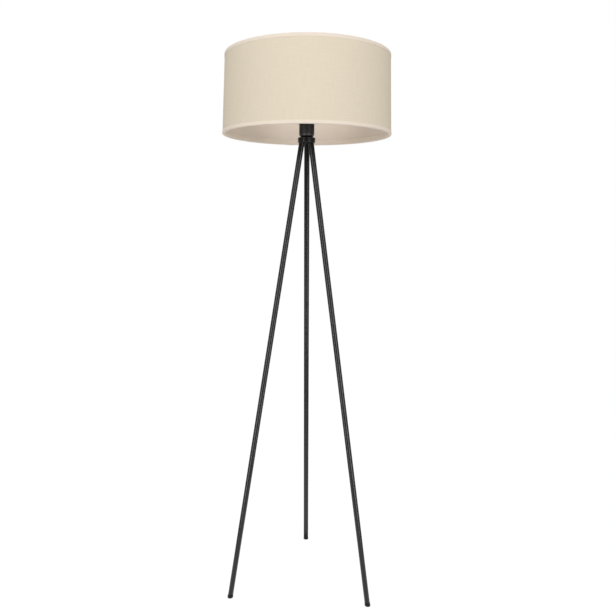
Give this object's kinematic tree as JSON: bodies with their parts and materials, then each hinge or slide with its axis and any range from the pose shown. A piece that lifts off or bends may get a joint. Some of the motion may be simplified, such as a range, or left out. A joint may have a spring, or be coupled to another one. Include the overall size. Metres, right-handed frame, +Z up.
{
  "type": "tripod floor lamp",
  "caption": "Floor lamp on a tripod of slim black steel tubes, with a wide cream drum shade that turns on its lampholder and an Edison screw socket.",
  "frame": {"origin": "on the floor under the lamp's axis", "axes": "+Z up along the lamp's axis, +Y towards the rear leg, +X to the right seen from the front"},
  "size_m": [0.4498, 0.4569, 1.487],
  "materials": {
    "black_coat": "satin black powder coat on steel",
    "holder_plastic": "moulded black thermoplastic",
    "black_nylon": "moulded black nylon",
    "steatite": "pressed unglazed steatite",
    "brass": "turned and stamped brass",
    "zinc_steel": "zinc plated steel",
    "white_wire": "white coated steel wire",
    "shade_cloth": "cream woven cotton and linen",
    "binding_cloth": "cream woven tape, rolled",
    "liner_sheet": "matt off-white styrene sheet"
  },
  "bodies": {
    "stand": {"hub": "black_coat", "cable_bush": "black_nylon", "centre_nipple": "zinc_steel", "holder_cap": "holder_plastic", "holder_shell": "holder_plastic", "nipple_lock_screw": "zinc_steel", "contact_block": "steatite", "terminal_screws": "zinc_steel", "side_contact": "brass", "contact_screw": "zinc_steel", "contact_spring": "zinc_steel", "leg_studs": "zinc_steel", "leg_rear": "black_coat", "leg_left": "black_coat", "leg_right": "black_coat", "leg_insert_rear": "zinc_steel", "leg_insert_left": "zinc_steel", "leg_insert_right": "zinc_steel", "foot_glide_rear": "black_nylon", "foot_glide_left": "black_nylon", "foot_glide_right": "black_nylon"},
    "shade": {"shade_fabric": "shade_cloth", "shade_liner": "liner_sheet", "top_binding": "binding_cloth", "bottom_binding": "binding_cloth", "top_ring": "white_wire", "bottom_ring": "white_wire", "fitter_ring": "white_wire", "spoke_rear": "white_wire", "spoke_left": "white_wire", "spoke_right": "white_wire"},
    "clamp_ring": {"shade_ring": "holder_plastic"},
    "contact": {"centre_contact": "brass", "contact_clip": "zinc_steel"}
  },
  "joints": [
    {"name": "shade_turn", "type": "hinge", "parent": "stand", "child": "shade", "pos_m": [0, 0, 1.3165], "axis": [0, 0, 1], "continuous": true},
    {"name": "shade_ring_turn", "type": "hinge", "parent": "stand", "child": "clamp_ring", "pos_m": [0, 0, 1.3185], "axis": [0, 0, 1], "range_deg": [0, 630]},
    {"name": "contact_press", "type": "slide", "parent": "stand", "child": "contact", "axis": [0, 0, 1], "range_m": [-0.0025, 0], "stiffness_N_per_m": 1500, "deforming": ["contact_spring"]}
  ]
}
